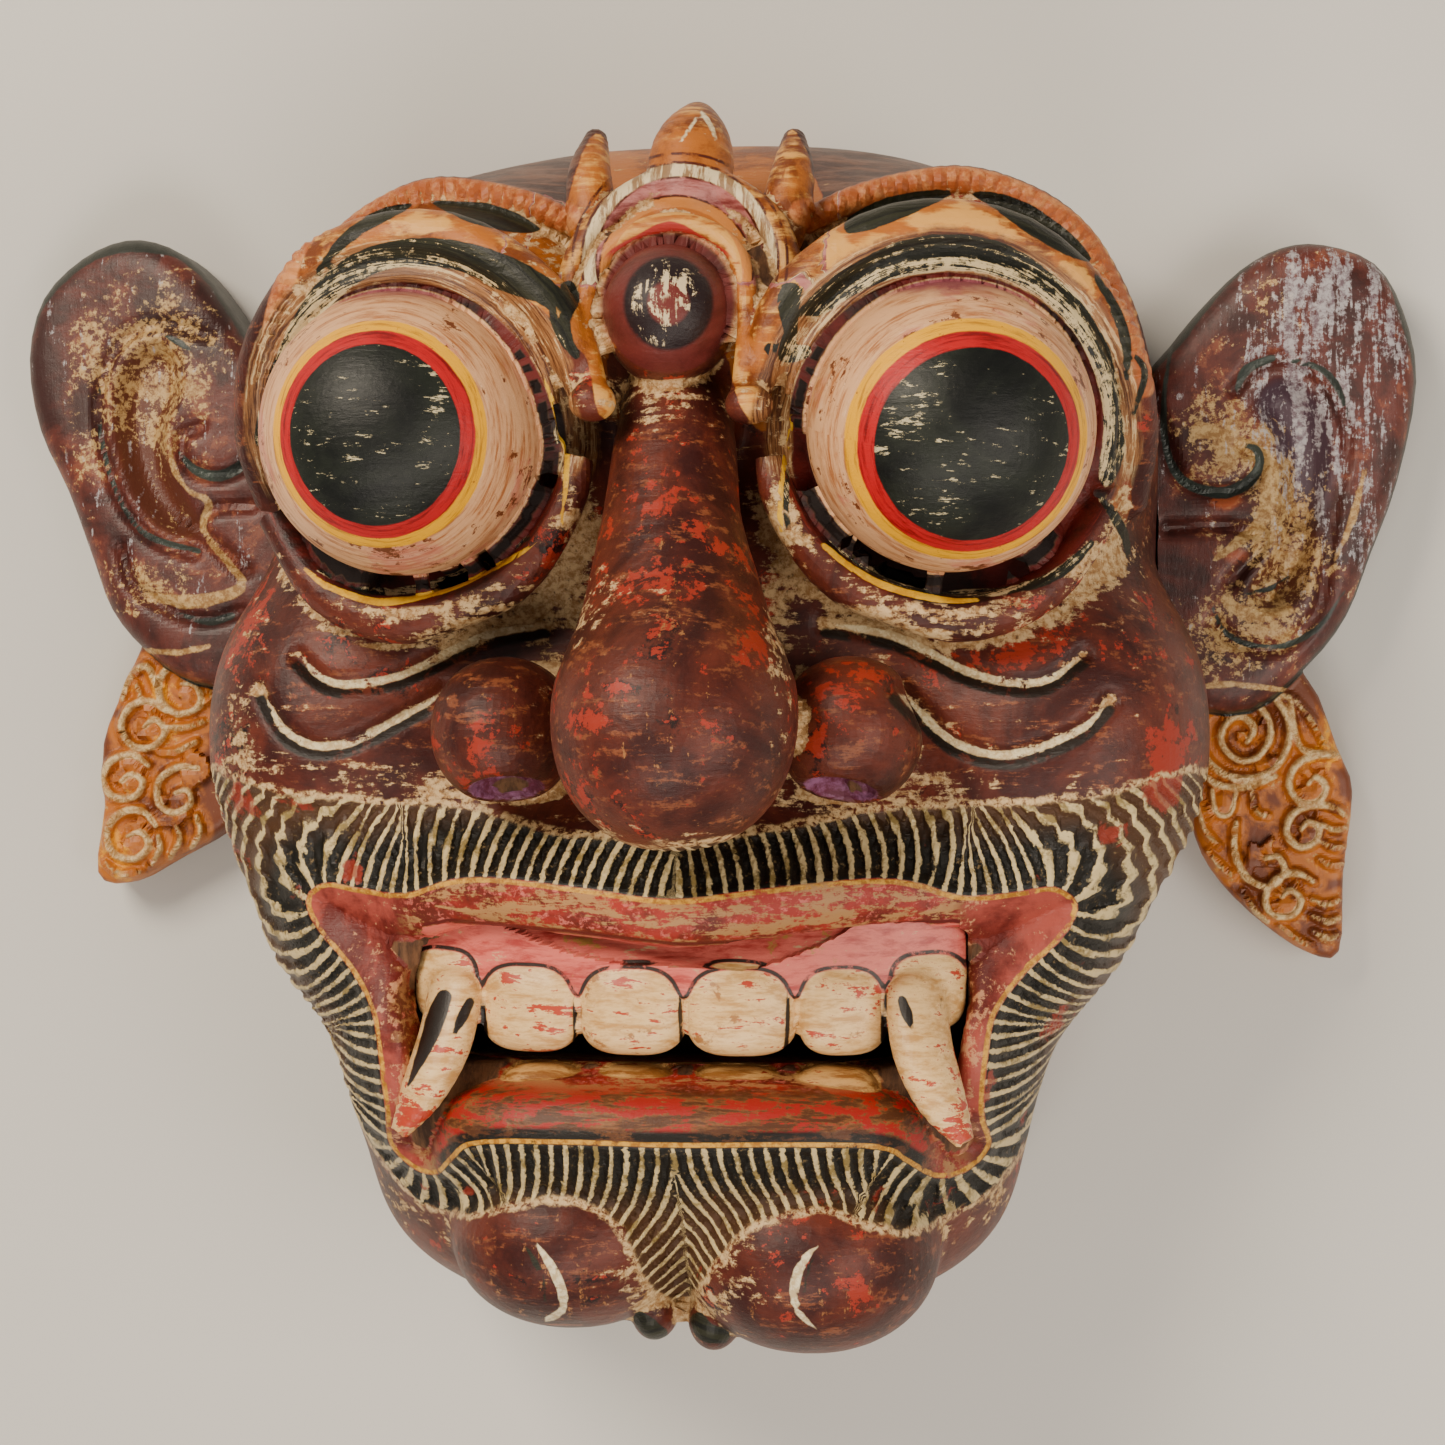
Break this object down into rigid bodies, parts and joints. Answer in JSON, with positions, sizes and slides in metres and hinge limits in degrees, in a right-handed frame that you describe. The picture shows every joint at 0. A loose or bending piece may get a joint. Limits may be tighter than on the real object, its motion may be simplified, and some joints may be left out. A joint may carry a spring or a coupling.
{
  "type": "rakshasa mask",
  "caption": "Carved and painted wooden demon mask with bulging eyes, a long round-tipped nose, bared fangs and leaf-shaped ears with scrollwork pendants, lying on its back.",
  "frame": {"origin": "centre of the mask's outline, ears included, on the plane that the back rim lies on", "axes": "+Z out of the face, +Y towards the crown, +X to the right of someone who looks at the face"},
  "size_m": [0.3471, 0.2822, 0.172],
  "materials": {
    "painted_wood": "worn maroon, ochre and black paint under a half-gloss varnish",
    "painted_teeth": "worn cream and pink paint under a half-gloss varnish"
  },
  "bodies": {
    "root": {"face": "painted_wood", "upper_teeth": "painted_teeth", "left_ear": "painted_wood", "right_ear": "painted_wood"}
  },
  "joints": []
}
